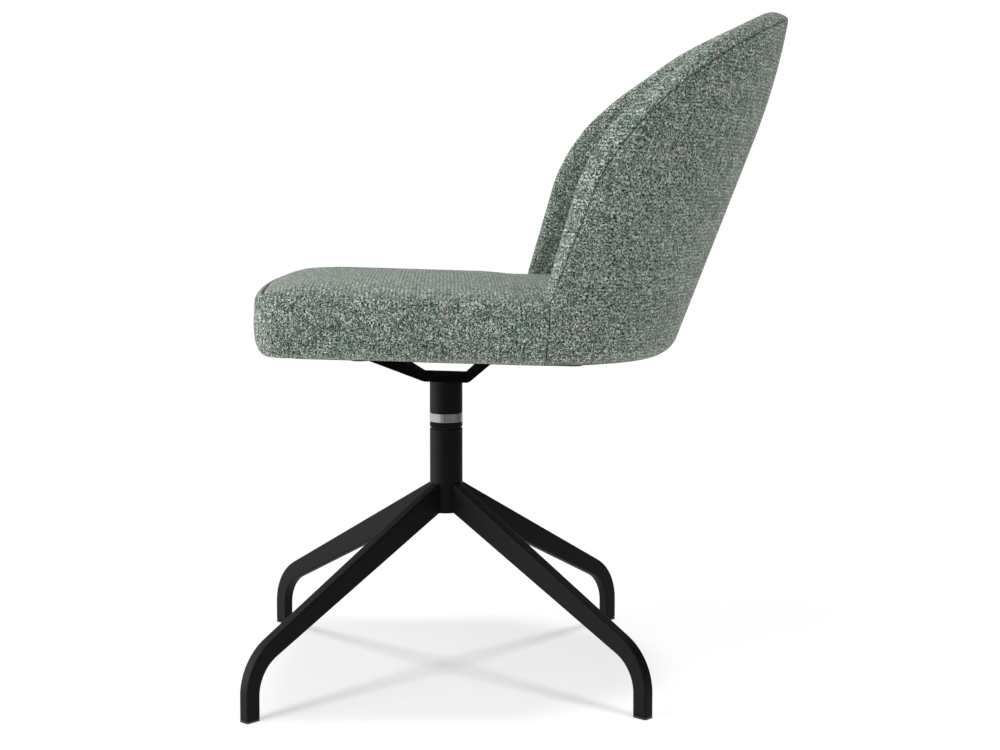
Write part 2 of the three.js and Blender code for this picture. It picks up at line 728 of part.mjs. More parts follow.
// The cushion in section, as shares of its bottom roll with its sag, and of its side and seam inset
const bottomRollShares = [[1, 0, 0], [0.57, 0.06, 1], [0.28, 0.22, 0.9], [0.08, 0.52, 0.4], [0, 1, 0]];
const sideShares = [[0.02, 0.42], [0, 0.72], [0.13, 0.86], [0.55, 0.95], [0.88, 0.985]];
const crownInsetShares = [[0.05, 0.3], [0.12, 0.58], [0.25, 0.82]];
const crownScaleShares = [0.86, 0.72, 0.55, 0.35, 0.16];

function seatCushionBody() {
  const { underside, bottomRoll, bottomRollHeight, frontSag } = cushion;
  const { seamHeight, seamInset, groove, crown, halfWidth } = cushion;
  const rollTop = underside + bottomRollHeight;
  const loops = bottomRollShares.map(([inset, up, sag]) => (
    seatOutline(underside + bottomRollHeight * up, bottomRoll * inset, frontSag * sag, joint.tuck * (1 - up))
  ));
  sideShares.forEach(([inset, up]) => {
    loops.push(seatOutline(THREE.MathUtils.lerp(rollTop, seamHeight, up), seamInset * inset));
  });
  loops.push(seatOutline(seamHeight, seamInset + groove));
  loops.push(seatOutline(seamHeight + groove / 2, seamInset + groove / 2));
  crownInsetShares.forEach(([inset, rise]) => {
    loops.push(seatOutline(seamHeight + crown * rise, seamInset + halfWidth * inset));
  });
  const last = loops[loops.length - 1];
  const [, lastRise] = crownInsetShares[crownInsetShares.length - 1];
  crownScaleShares.forEach((scale) => {
    const height = seamHeight + crown * (lastRise + (1 - lastRise) * (1 - scale ** 2));
    loops.push(last.map((p) => new THREE.Vector3(p.x * scale, p.y * scale, height)));
  });
  const solid = stacked(loops);
  const nutTop = boardTop + 2 * fit + teeNut.flange;
  const nutSpace = disc(teeNut.flangeRadius + fit, underside, nutTop, 0, screwSides);
  const nutSpaces = boltPlaces.map(([, x, y]) => nutSpace.clone().translate(x, y, 0));
  return cut(solid, boardBlank(fit, overrun), railSolid(fit), ...nutSpaces);
}

// Outline of the board and of the dust cover: the seat's front with the shell's rear
function undersideShape(margin, corner) {
  const { halfWidth, frontReach, underside } = cushion;
  const shape = new THREE.Shape();
  const x = halfWidth - margin;
  const y = frontReach - margin;
  const centreY = rearReachAt(underside) - shell.planDepth;
  shape.moveTo(-x + corner, -y);
  shape.lineTo(x - corner, -y);
  shape.absarc(x - corner, corner - y, corner, -Math.PI / 2, 0, false);
  shape.lineTo(x, centreY);
  shape.absellipse(0, centreY, x, shell.planDepth - margin, 0, Math.PI, false, 0);
  shape.lineTo(-x, corner - y);
  shape.absarc(corner - x, corner - y, corner, Math.PI, 3 * Math.PI / 2, false);
  return shape;
}

function boardBlank(slack, below) {
  const shape = undersideShape(board.margin - slack, board.corner);
  return sheet(shape, cushion.underside - below, board.thickness + below + slack, outlineSteps.tail);
}

function seatBoard() {
  return cut(
    boardBlank(0, 0),
    ...boltHoles(teeNut.barrelRadius + fit, cushion.underside, boardTop),
    ...railScrewPlaces.flatMap((place) => [
      railScrewShank(fit).translate(place.x, place.y, 0),
      railScrewSink().translate(place.x, place.y, 0)
    ])
  );
}

function dustCoverBody() {
  const shape = undersideShape(dustCover.hemShow, dustCover.corner);
  const blank = sheet(shape, dustTop - dustCover.thickness, dustCover.thickness, outlineSteps.tail);
  return cut(blank, ...boltHoles(bolt.radius + fit, plateTop, dustTop));
}

// Assembly
const chair = new THREE.Group();
const base = new THREE.Group();
const swivel = new THREE.Group();
const seatUnit = new THREE.Group();
seatUnit.position.set(0, 0, upperTube.top);
seatUnit.rotation.x = -seatLean;
chair.add(base, swivel, seatUnit);

function piece(group, name, geometry, material) {
  const mesh = new THREE.Mesh(welded(geometry), material);
  mesh.name = name;
  group.add(mesh);
  return mesh;
}

piece(base, "pedestal_tube", pedestalTube(), blackCoat);
piece(base, "pedestal_end_cap", pedestalEndCap(), blackPlastic);
piece(base, "lower_bush", plainBush(lowerBushBottom), bushPlastic);
piece(base, "upper_bush", plainBush(upperBushBottom), bushPlastic);
piece(base, "thrust_washer", thrustWasher(), blackPlastic);

const legPlaces = [["front_left", -45], ["front_right", -135], ["rear_left", 45], ["rear_right", 135]];
const legGeometry = legBody();
const glideGeometry = footGlide();
legPlaces.forEach(([name, degrees]) => {
  const turn = THREE.MathUtils.degToRad(degrees);
  piece(base, `leg_${name}`, legGeometry, blackCoat).rotation.z = turn;
  piece(base, `glide_${name}`, glideGeometry, blackPlastic).rotation.z = turn;
});

piece(swivel, "swivel_collar", swivelCollar(), blackCoat);
piece(swivel, "trim_ring", steelTrimRing(), brushedSteel);
piece(swivel, "upper_tube", upperTubeBody(), blackCoat);
piece(swivel, "spindle", spindleBody(), bareSteel);
piece(swivel, "retaining_washer", retainingWasher(), bareSteel);
piece(swivel, "retaining_bolt", retainingBolt(), bareSteel);

piece(seatUnit, "seat_bracket", seatBracket(), blackCoat);
piece(seatUnit, "mounting_plate", mountingPlate(), blackCoat);
piece(seatUnit, "dust_cover", dustCoverBody(), dustCloth);
piece(seatUnit, "seat_board", seatBoard(), plywood);
boltPlaces.forEach(([name, x, y]) => {
  piece(seatUnit, `plate_bolt_${name}`, plateBolt(), blackCoat).position.set(x, y, 0);
  piece(seatUnit, `tee_nut_${name}`, teeNutBody(), bareSteel).position.set(x, y, 0);
});
railScrewPlaces.forEach((place, i) => {
  const screw = piece(seatUnit, `rail_screw_${railScrewNames[i]}`, railScrewBody(), bareSteel);
  screw.position.set(place.x, place.y, 0);
});
piece(seatUnit, "seat_cushion", seatCushionBody(), melange);
piece(seatUnit, "back_rail", backRail(), plywood);
piece(seatUnit, "back_core", backCore(), plywood);
piece(seatUnit, "back_outer_panel", backOuterPanel(), melange);
piece(seatUnit, "back_inner_pad", backInnerPad(), melange);

// The swivel axis stands ahead of the chair's middle, because the back leans out behind
chair.updateMatrixWorld(true);
const box = new THREE.Box3().setFromObject(chair, true);
chair.position.y = -(box.min.y + box.max.y) / 2;

export default chair;
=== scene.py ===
# Swivel dining chair: upholstery, finishes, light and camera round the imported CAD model.
# Shape functions work in millimetres, in the axes of the leaning seat unit. Meshes are in metres, in the frame.

import json
import math

import bpy
import numpy as np
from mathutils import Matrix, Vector


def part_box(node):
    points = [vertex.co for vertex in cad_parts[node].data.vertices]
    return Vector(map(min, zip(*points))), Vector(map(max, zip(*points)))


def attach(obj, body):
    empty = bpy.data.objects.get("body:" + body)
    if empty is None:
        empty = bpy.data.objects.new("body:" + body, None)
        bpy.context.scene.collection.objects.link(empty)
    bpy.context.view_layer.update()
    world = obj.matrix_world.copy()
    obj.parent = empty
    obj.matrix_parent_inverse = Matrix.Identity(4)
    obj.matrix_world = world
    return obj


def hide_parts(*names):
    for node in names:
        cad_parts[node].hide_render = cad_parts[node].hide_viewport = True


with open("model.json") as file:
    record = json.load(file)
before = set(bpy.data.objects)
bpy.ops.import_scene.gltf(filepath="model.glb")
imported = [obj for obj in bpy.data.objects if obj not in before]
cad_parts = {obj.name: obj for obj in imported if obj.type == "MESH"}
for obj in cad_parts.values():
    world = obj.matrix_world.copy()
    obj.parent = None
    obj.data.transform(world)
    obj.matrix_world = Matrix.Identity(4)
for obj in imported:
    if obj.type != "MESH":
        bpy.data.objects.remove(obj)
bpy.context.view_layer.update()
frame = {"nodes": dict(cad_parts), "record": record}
nodes = frame["nodes"]

MM = 0.001
HALF_PI = math.pi / 2

# ---------------------------------------------------------------- sizes shared with the CAD source
SWIVEL_Y = sum(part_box("pedestal_tube")[i].y for i in (0, 1)) / 2 / MM
LEAN = 0.032                      # the seat unit leans back by this angle, in radians
SEAT_Z = 356.4                    # height of the seat unit's own origin
HALF_WIDTH, PLAN_DEPTH, REAR_REACH = 228.0, 175.0, 271.0    # the half-elliptical plan, and how far back it stands
RAKE, UPRIGHT_FROM, UPRIGHT_RADIUS = 0.352, 300.0, 680.0    # the cloth turns up sooner than its core
UNDERSIDE, HEM, THICKNESS = 42.5, 20.0, 38.5
ARCH_HALF, SPRINGING, CROWN = 329.0, 235.0, 448.0           # the arch, drawn on the unrolled surface
JOINT_Y, SHELL_GAP = 110.0, 0.4   # the CAD leaves 1 mm between seat and back, which the cloth fills
FRONT_REACH = 225.0               # the seat's front face ahead of the swivel
QUARTER = HALF_PI * math.sqrt((HALF_WIDTH ** 2 + PLAN_DEPTH ** 2) / 2)    # length of a quarter of the plan


# ---------------------------------------------------------------- small helpers
def srgb(code):
    """A colour written as sRGB hex, as the linear RGBA that the shader sockets take."""
    parts = [int(code[i:i + 2], 16) / 255 for i in (1, 3, 5)]
    linear = [p / 12.92 if p <= 0.04045 else ((p + 0.055) / 1.055) ** 2.4 for p in parts]
    return (*linear, 1.0)


def smoothstep(x, lo, hi):
    t = np.clip((x - lo) / (hi - lo), 0, 1)
    return t * t * (3 - 2 * t)


def lerp(a, b, t):
    return a + (b - a) * t


def to_frame(points):
    """Points of the leaning seat unit, in millimetres, as points of the frame, in metres."""
    x, y, z = np.moveaxis(np.asarray(points, float), -1, 0)
    c, s = math.cos(LEAN), math.sin(LEAN)
    return np.stack([x, SWIVEL_Y + y * c + z * s, SEAT_Z - y * s + z * c], -1) * MM


def smooth_curve(points, count):
    """A Catmull-Rom curve through rows of numbers, sampled evenly in its parameter."""
    p = np.asarray(points, float)
    spans = len(p) - 1
    t = np.linspace(0, spans, count)
    i = np.minimum(t.astype(int), spans - 1)
    f = (t - i)[:, None]
    a, b, c, d = (p[np.clip(i + step, 0, spans)] for step in (-1, 0, 1, 2))
    return 0.5 * (2 * b + (c - a) * f + (2 * a - 5 * b + 4 * c - d) * f ** 2 + (3 * b - a - 3 * c + d) * f ** 3)


def mesh_object(name, points, faces, attributes):
    """A smooth mesh in the scene, with the named numbers stored on its points."""
    mesh = bpy.data.meshes.new(name)
    mesh.from_pydata([tuple(p) for p in points], [], faces)
    for key, values in attributes.items():
        layer = mesh.attributes.new(key, "FLOAT", "POINT")
        layer.data.foreach_set("value", np.asarray(values, np.float32))
    mesh.polygons.foreach_set("use_smooth", [True] * len(mesh.polygons))
    mesh.validate()
    mesh.update()
    thing = bpy.data.objects.new(name, mesh)
    bpy.context.scene.collection.objects.link(thing)
    return thing


def strip_faces(rows, columns, closed=False):
    """Squares between rows of a grid of points, numbered row by row."""
    faces = []
    for r in range(rows - 1):
        for c in range(columns if closed else columns - 1):
            d = (c + 1) % columns
            faces.append((r * columns + c, r * columns + d, (r + 1) * columns + d, (r + 1) * columns + c))
    return faces


# ---------------------------------------------------------------- the wrapped back's surface
def rear_reach(height):
    """How far behind the swivel the back stands at a height: a straight rake, then a bend towards upright."""
    bend = np.maximum(0, height - UPRIGHT_FROM)
    return REAR_REACH + RAKE * (height - UNDERSIDE) - bend ** 2 / (2 * UPRIGHT_RADIUS)


def shell_point(wrap, height, depth):
    """A point of the back: wrap is measured round it from the rear, depth inwards from its outer face."""
    wrap, height, depth = np.broadcast_arrays(*[np.asarray(v, float) for v in (wrap, height, depth)])
    centre = rear_reach(height) - PLAN_DEPTH
    beyond = np.maximum(np.abs(wrap) - QUARTER, 0)
    angle = np.clip(wrap / QUARTER, -1, 1) * HALF_PI
    nx, ny = np.sin(angle) / HALF_WIDTH, np.cos(angle) / PLAN_DEPTH
    length = np.hypot(nx, ny)
    x = HALF_WIDTH * np.sin(angle) - depth * nx / length
    y = centre + PLAN_DEPTH * np.cos(angle) - depth * ny / length - beyond
    return np.stack([x, y, height], -1)


def wrap_limit(height):
    """How far round the back reaches at a height: to the arch's side, or to the joint with the seat."""
    return np.minimum(ARCH_HALF, QUARTER + rear_reach(height) - PLAN_DEPTH - JOINT_Y - SHELL_GAP)


def lattice(across, up, inset, bottom):
    """Wrap and height of a place on the arch: across runs from -1 to 1, up from 0 at the bottom to 1 at the rim."""
    angle = across * HALF_PI
    top = SPRINGING + (CROWN - SPRINGING - inset) * np.cos(angle)
    height = bottom + (top - bottom) * up
    return (wrap_limit(height) - inset) * np.sin(angle), height


def roll_reach(height):
    """How far the pad's roll stands out past the arch: it swells up to the shoulders and narrows to the crown."""
    foot, shoulder, slope, crown_loss = 8.0, 26.0, 12.6, 4.6
    swells, shoulders, narrows, turns_over = (120, 305), 318, (316, 385), (395, CROWN)    # heights
    low = lerp(foot, shoulder, np.clip((height - swells[0]) / (swells[1] - swells[0]), 0, 1))
    high = lerp(shoulder, slope, smoothstep(height, *narrows)) - crown_loss * smoothstep(height, *turns_over)
    return np.where(height > shoulders, high, low)


def edge_loop(columns, rows):
    """Lattice places once round a panel: along the bottom, up the left edge, over the rim, down the right."""
    across = np.linspace(-1, 1, columns + 1)
    up = np.linspace(0, 1, rows + 1)
    loop = [(a, 0.0) for a in across] + [(1.0, u) for u in up[1:]]
    loop += [(a, 1.0) for a in across[-2::-1]] + [(-1.0, u) for u in up[-2:0:-1]]
    return np.array(loop)


def back_panel(name, columns, rows, face_inset, face_depth, bottom, bands):
    """A face of the back, then bands round its edge. Each band gives its loop of points and its crease mark."""
    across, up = np.meshgrid(np.linspace(-1, 1, columns + 1), np.linspace(0, 1, rows + 1))
    loop = edge_loop(columns, rows)
    wrap, height = lattice(across, up, face_inset, bottom)
    points = [shell_point(wrap, height, face_depth).reshape(-1, 3)]
    crease = [np.zeros(len(points[0]))]
    count = columns + 1
    loops = [np.array([round(u * rows) * count + round((a + 1) / 2 * columns) for a, u in loop])]
    start = len(points[0])
    for band in bands:
        place, mark = band(loop[:, 0], loop[:, 1])
        points.append(place)
        crease.append(np.full(len(loop), mark))
        loops.append(np.arange(start, start + len(loop)))
        start += len(loop)
    faces = strip_faces(rows + 1, count)
    for inner, outer in zip(loops, loops[1:]):
        for i in range(len(loop)):
            j = (i + 1) % len(loop)
            faces.append((inner[j], inner[i], outer[i], outer[j]))
    points = np.concatenate(points)
    return mesh_object(name, to_frame(points), faces, {"crease": np.concatenate(crease), "course": points[:, 2]})


def outer_panel():
    """Cloth and wadding outside the core: tucked in along its seam, and pulled under the board at the hem."""
    face_inset, bottom, steps = 9.0, UNDERSIDE + HEM, 13
    tucked_inset, tucked_depth, below_board = 0.8, 4.6, 0.25
    # (inset, depth, crease) from the face into the seam
    tuck = smooth_curve([(face_inset, 0, 0), (5, 0, 0), (2.2, 0.15, 0), (0.7, 0.8, 0.2), (0.1, 2.0, 0.8),
                         (0.3, tucked_depth, 1)], steps)[1:]
    hem_turn = np.linspace(0, HALF_PI, steps)[1:]

    def band_at(inset, depth, low, low_depth, mark):
        """A band at an inset and depth, except along the hem, where it lies at a height and depth of its own."""
        def band(a, u):
            wrap, height = lattice(a, u, inset, bottom)
            at_hem = u == 0
            wrap = np.where(at_hem, (wrap_limit(low) - inset) * np.sin(a * HALF_PI), wrap)
            height = np.where(at_hem, low, height)
            return shell_point(wrap, height, np.where(at_hem, low_depth, depth)), mark
        return band

    bands = [band_at(inset, depth, UNDERSIDE + HEM * (1 - math.sin(turn)), HEM * (1 - math.cos(turn)), mark)
             for (inset, depth, mark), turn in zip(tuck, hem_turn)]
    # then the cloth runs in under the board, ever deeper from the outer face
    bands += [band_at(tucked_inset, tucked_depth, UNDERSIDE - below_board, run, 0) for run in (24, 30, 35)]
    return back_panel("back_outer_cloth", 150, 90, face_inset, 0.0, bottom, bands)


def inner_pad():
    """The foam pad in front of the core, with its fat rolled edge lapped over the core's edge."""
    face_inset, bottom = 15.0, 76.0
    inset_unit = 14.7       # mm inwards from the arch for one unit of out
    tail_share = 0.155      # below the roll the pad begins at this share of the back's thickness
    roll_starts, grows_round = (92, 122), (200, 320)    # heights
    # (out, share of the depth, crease) round the roll: squarer at the wings' foot, rounder towards the crown
    square = smooth_curve([(0.5, 0.4, 0), (0.15, 0.16, 0), (-0.02, 0.03, 1), (-0.08, 0.026, 0.2), (-0.22, 0.045, 0),
                           (-0.48, 0.18, 0), (-0.84, 0.4, 0), (-1, 0.66, 0), (-0.8, 0.88, 0), (-0.34, 0.98, 0),
                           (0.1, 1, 0)], 42)
    round_roll = smooth_curve([(0.5, 0.4, 0), (0.15, 0.16, 0), (-0.02, 0.03, 1), (-0.08, 0.026, 0.2),
                               (-0.22, 0.04, 0), (-0.52, 0.15, 0), (-0.85, 0.33, 0), (-1, 0.52, 0), (-0.88, 0.68, 0),
                               (-0.5, 0.85, 0), (0.3, 0.98, 0)], 42)

    def band_at(low_row, high_row):
        def band(a, u):
            upright = lattice(a, u, 0, bottom)[1]
            rolled = smoothstep(upright, *roll_starts)
            high = smoothstep(upright, *grows_round)
            out = lerp(low_row[0], high_row[0], high)
            share = np.maximum(lerp(low_row[1], high_row[1], high), 0.01)
            inset = np.where(out < 0, out * rolled * roll_reach(upright), out * inset_unit)
            depth = THICKNESS * lerp(lerp(tail_share, 1.0, share), share, rolled)
            wrap, height = lattice(a, u, inset, bottom)
            low_wrap, low_height = lattice(a, 0, face_inset, bottom)
            wrap, height = np.where(u == 0, low_wrap, wrap), np.where(u == 0, low_height, height)
            return shell_point(wrap, height, depth), max(low_row[2], 0)
        return band

    bands = [band_at(low_row, high_row) for low_row, high_row in zip(square[::-1], round_roll[::-1])]
    return back_panel("back_inner_pad_cloth", 150, 80, face_inset, THICKNESS, bottom, bands)


# ---------------------------------------------------------------- the seat
def seat_outline(height, inset, sag, tail_inset):
    """The seat's plan at a height, once round it from the middle of its front. Its front end hangs by sag."""
    corner, corner_loss, bow, tail_gap = 44.0, 22.0, 8.0, 2.0
    front_points, corner_points, side_points, tail_points = 60, 26, 96, 110
    x, y, radius = HALF_WIDTH - inset, FRONT_REACH - inset, corner - min(inset, corner_loss)
    right = [((x - radius) * s, -y + bow * s ** 2) for s in np.linspace(0, 1, front_points, endpoint=False)]
    for a in np.linspace(0, HALF_PI, corner_points):
        right.append((x - radius + radius * math.sin(a), -y + bow + radius * (1 - math.cos(a))))
    shoulder, side_start = JOINT_Y - tail_inset, -y + bow + radius
    right += [(x, v) for v in np.linspace(side_start, shoulder, side_points)[1:]]
    wrap_end = QUARTER + float(rear_reach(height)) - PLAN_DEPTH - shoulder
    tail = shell_point(np.linspace(wrap_end, 0, tail_points), height, THICKNESS + tail_gap + tail_inset)
    right += [(p[0], p[1]) for p in tail]
    loop = np.array(right + [(-px, py) for px, py in right[-2:0:-1]])
    front = np.clip(-2 * loop[:, 1] / FRONT_REACH - 1, 0, 1)
    return np.column_stack([loop, height - sag * front ** 2])


def seat_cushion():
    """The seat block: rolled under at the board, a straight side band, a sewn top edge and a crowned top."""
    top, middle_y = 126.5, -10.0                  # the crowned top's highest point
    groove, faint_seam_shade, seam_front = 2.5, 0.12, (203, 217)    # the seam is drawn in at the front; its painted shade in the cloth's colour is full there and faint elsewhere
    section_rows, top_rows = 110, 60
    section = [  # (inset, height, sag, crease, inset of the tail)
        (42, 42.2, 0, 0, 3.5), (34, 41.0, 0, 0, 3.5), (26, 41.5, 0, 0, 3.5), (14.8, 44.2, 4, 0, 3.3),
        (7.3, 50, 3.6, 0, 2.7), (2.1, 60.2, 1.6, 0, 1.7), (0, 76.5, 0, 0, 0), (0.15, 91, 0, 0, 0.15),
        (0.2, 101, 0, 0, 0.2), (1.2, 106.6, 0, 0, 1.2), (4.5, 110, 0, 0, 4.5), (7.4, 111.2, 0, 0.2, 7.4),
        (9.3, 111.0, 0, 1, 9.3), (10.6, 112.2, 0, 0.5, 10.6), (13.5, 114, 0, 0, 13.5), (20, 116, 0, 0, 20),
        (36, 120.2, 0, 0, 36), (66, 123.8, 0, 0, 66)]
    fine = smooth_curve(section, section_rows)
    loops = [seat_outline(h, i, s, t) for i, h, s, _, t in fine]
    fronts = [smoothstep(row[0] - loop[:, 1], *seam_front) for row, loop in zip(fine, loops)]
    crease = [lerp(faint_seam_shade, 1.0, front) * max(0, row[3]) for row, front in zip(fine, fronts)]
    for loop, front, mark in zip(loops, fronts, crease):
        loop[:, 2] -= groove * front * mark
    last, rim = loops[-1], fine[-1][1]
    middle = np.array([0, middle_y, 0])
    for scale in np.linspace(1, 0, top_rows)[1:-1]:
        ring = (last - middle) * [scale, scale, 0] + middle
        ring[:, 2] = rim + (top - rim) * (1 - scale ** 2)
        loops.append(ring)
        crease.append(np.zeros(len(ring)))
    count = len(last)
    points = np.concatenate([*loops, [[0, middle_y, top]]])
    faces = strip_faces(len(loops), count, closed=True)
    apex = len(loops) * count
    faces += [(apex - count + i, apex - count + (i + 1) % count, apex) for i in range(count)]
    return mesh_object("seat_cushion_cloth", to_frame(points), faces,
                       {"crease": np.concatenate([*crease, [0]]), "course": points[:, 1]})


# ---------------------------------------------------------------- materials
def add(tree, kind, inputs=None, stops=(), **settings):
    """One node with its settings and links. An input is a plain value, a socket to link, or a node, which is
    linked by its first output. stops are the places and colours of a colour ramp."""
    node = tree.nodes.new(kind)
    node.location = (200 * len(tree.nodes), 0)
    for key, value in settings.items():
        setattr(node, key, value)
    for key, value in (inputs or {}).items():
        if isinstance(value, bpy.types.Node):
            value = value.outputs[0]
        if isinstance(value, bpy.types.NodeSocket):
            tree.links.new(value, node.inputs[key])
        else:
            node.inputs[key].default_value = value
    for i, (position, colour) in enumerate(stops):
        elements = node.color_ramp.elements
        element = elements[i] if i < len(elements) else elements.new(position)
        element.position, element.color = position, srgb(colour)
    return node


def per_metre(size):
    """The scale of a noise whose pattern has this size in millimetres."""
    return 1 / (size * MM)


def new_material(name):
    material = bpy.data.materials.new(name)
    material.use_nodes = True
    material.node_tree.nodes.clear()
    return material, material.node_tree


def boucle():
    """Woven boucle: matt curled yarn of beige, grey-green and teal plies about 1 mm thick, over a dark ground.
    Painted shade darkens the gaps between the loops, the rows and the creases.
    """
    material, tree = new_material("boucle_weave_melange")
    coordinates = add(tree, "ShaderNodeTexCoord")
    cloth_place = coordinates.outputs["Object"]
    # the weft runs across the chair, so the yarn is drawn out that way
    place = add(tree, "ShaderNodeMapping", {"Vector": cloth_place, "Scale": (0.42, 1.0, 1.0)})
    # sizes in mm: patches of one tone, runs of one ply, the plies' tints, and fibres
    patch = add(tree, "ShaderNodeTexNoise",
                {"Vector": cloth_place, "Scale": per_metre(16.67), "Detail": 4.0, "Roughness": 0.7})
    run = add(tree, "ShaderNodeTexNoise", {"Vector": place, "Scale": per_metre(1.923), "Detail": 1.0})
    ply = add(tree, "ShaderNodeTexNoise", {"Vector": place, "Scale": per_metre(2.326), "Detail": 1.0})
    fibre = add(tree, "ShaderNodeTexNoise",
                {"Vector": place, "Scale": per_metre(0.833), "Detail": 2.0, "Roughness": 0.6})
    # curled strands: the narrow bands where a noise of 2 mm passes its middle value
    curl = add(tree, "ShaderNodeTexNoise",
               {"Vector": place, "Scale": per_metre(2.083), "Detail": 0.0, "Distortion": 0.6})
    past_middle = add(tree, "ShaderNodeMath", {0: curl, 1: 0.5}, operation="SUBTRACT")
    off_middle = add(tree, "ShaderNodeMath", {0: past_middle}, operation="ABSOLUTE")
    band = add(tree, "ShaderNodeMapRange", {"Value": off_middle, "From Max": 0.17, "To Min": 1.0, "To Max": 0.0},
               interpolation_type="SMOOTHSTEP")
    # woven rows 4.3 mm apart, level on the back and across the seat, which show least on the chair's sides. Their
    # stripes in the colour are partly painted shade: the shade between raised rows seen at a low angle, faded where
    # the cloth faces sideways
    course = add(tree, "ShaderNodeAttribute", attribute_name="course").outputs["Fac"]
    wander = add(tree, "ShaderNodeMath", {0: patch, 1: 5.0}, operation="MULTIPLY")
    phase = add(tree, "ShaderNodeMath", {0: course, 1: 2 * math.pi / 4.3, 2: wander}, operation="MULTIPLY_ADD")
    wave = add(tree, "ShaderNodeMath", {0: phase}, operation="SINE")
    facing = add(tree, "ShaderNodeSeparateXYZ", {0: coordinates.outputs["Normal"]})
    sideways = add(tree, "ShaderNodeMath", {0: facing.outputs["X"]}, operation="ABSOLUTE")
    row_shade_facing = add(tree, "ShaderNodeMath", {0: 1.4, 1: sideways}, operation="SUBTRACT")
    rows = add(tree, "ShaderNodeMath", {0: wave, 1: row_shade_facing}, operation="MULTIPLY")
    strand = add(tree, "ShaderNodeMath", {0: rows, 1: 0.16, 2: band}, operation="MULTIPLY_ADD")
    # melange: each short run of yarn has its own tone, which drifts in patches over the cloth
    fine_tone = add(tree, "ShaderNodeMath", {0: fibre, 1: 0.35}, operation="MULTIPLY")
    wide_tone = add(tree, "ShaderNodeMath", {0: patch, 1: 0.4, 2: fine_tone}, operation="MULTIPLY_ADD")
    tone = add(tree, "ShaderNodeMath", {0: run, 1: 0.8, 2: wide_tone}, operation="MULTIPLY_ADD")
    level = add(tree, "ShaderNodeMapRange", {"Value": tone, "From Min": 0.6, "From Max": 0.95})
    yarn = add(tree, "ShaderNodeValToRGB", {"Fac": level},
               [(0.0, "#4e6f66"), (0.3, "#899f93"), (0.6, "#b9c0b8"), (1.0, "#e0dfd7")])
    # the ground between the strands is dark green, partly the yarn's own colour and partly painted shade in the gaps
    # between the loops; a colour mix has its sockets at 0, 6, 7 and its output at 2
    ground_and_gap_shade = add(tree, "ShaderNodeValToRGB", {"Fac": run}, [(0.4, "#0b2a30"), (0.6, "#343626")])
    both = add(tree, "ShaderNodeMix", {0: strand, 6: ground_and_gap_shade, 7: yarn}, data_type="RGBA")
    # plies of teal, green, beige and grey lie side by side
    tints = add(tree, "ShaderNodeValToRGB", {"Fac": ply},
                [(0.36, "#e6f9ff"), (0.48, "#f7fdf5"), (0.6, "#fff5ec"), (0.7, "#fff1fa")])
    dyed = add(tree, "ShaderNodeVectorMath", {0: both.outputs[2], 1: tints}, operation="MULTIPLY")
    # painted shade: the colour is darkened along the sewn creases, where shade falls
    crease_shade = add(tree, "ShaderNodeAttribute", attribute_name="crease").outputs["Fac"]
    shade = add(tree, "ShaderNodeMapRange", {"Value": crease_shade, "To Min": 1.0, "To Max": 0.25})
    shaded = add(tree, "ShaderNodeVectorMath", {0: dyed, "Scale": shade}, operation="SCALE")
    height = add(tree, "ShaderNodeMath", {0: fibre, 1: 0.25, 2: strand}, operation="MULTIPLY_ADD")
    bump = add(tree, "ShaderNodeBump", {"Height": height, "Strength": 0.9, "Distance": 1.0 * MM})
    surface = add(tree, "ShaderNodeBsdfPrincipled", {
        "Base Color": shaded, "Normal": bump, "Roughness": 0.95, "Specular IOR Level": 0.15,
        "Sheen Weight": 0.4, "Sheen Roughness": 0.5, "Sheen Tint": srgb("#c9cfc4")})
    add(tree, "ShaderNodeOutputMaterial", {"Surface": surface})
    return material


def brushed_steel():
    """Stainless steel turned and brushed round the pedestal's axis: satin, with fine level lines.

    Real brush lines are finer than a pixel. These are 50 mm long and 0.11 mm apart, as coarse as they need to be."""
    material, tree = new_material("stainless_steel_brushed")
    along, apart = per_metre(50), per_metre(0.1111)
    place = add(tree, "ShaderNodeTexCoord").outputs["Object"]
    drawn_out = add(tree, "ShaderNodeMapping", {"Vector": place, "Scale": (along, along, apart)})
    lines = add(tree, "ShaderNodeTexNoise", {"Vector": drawn_out, "Scale": 1.0, "Detail": 3.0})
    roughness = add(tree, "ShaderNodeMapRange", {"Value": lines, "To Min": 0.32, "To Max": 0.46})
    bump = add(tree, "ShaderNodeBump", {"Height": lines, "Strength": 0.15, "Distance": 0.1 * MM})
    surface = add(tree, "ShaderNodeBsdfPrincipled", {
        "Base Color": srgb("#b6b6b4"), "Normal": bump, "Roughness": roughness, "Metallic": 1.0})
    add(tree, "ShaderNodeOutputMaterial", {"Surface": surface})
    return material


def grained(name, colour, roughness, grain=2.5, strength=0.1, depth=0.3, detail=3.0, metallic=0.0, specular=0.5):
    """A coated, moulded, sawn or plated surface. grain is the size of its faint grain and depth its depth, in mm."""
    material, tree = new_material(name)
    place = add(tree, "ShaderNodeTexCoord").outputs["Object"]
    noise = add(tree, "ShaderNodeTexNoise", {"Vector": place, "Scale": per_metre(grain), "Detail": detail})
    bump = add(tree, "ShaderNodeBump", {"Height": noise, "Strength": strength, "Distance": depth * MM})
    surface = add(tree, "ShaderNodeBsdfPrincipled", {
        "Base Color": srgb(colour), "Normal": bump, "Roughness": roughness, "Metallic": metallic,
        "Specular IOR Level": specular})
    add(tree, "ShaderNodeOutputMaterial", {"Surface": surface})
    return material


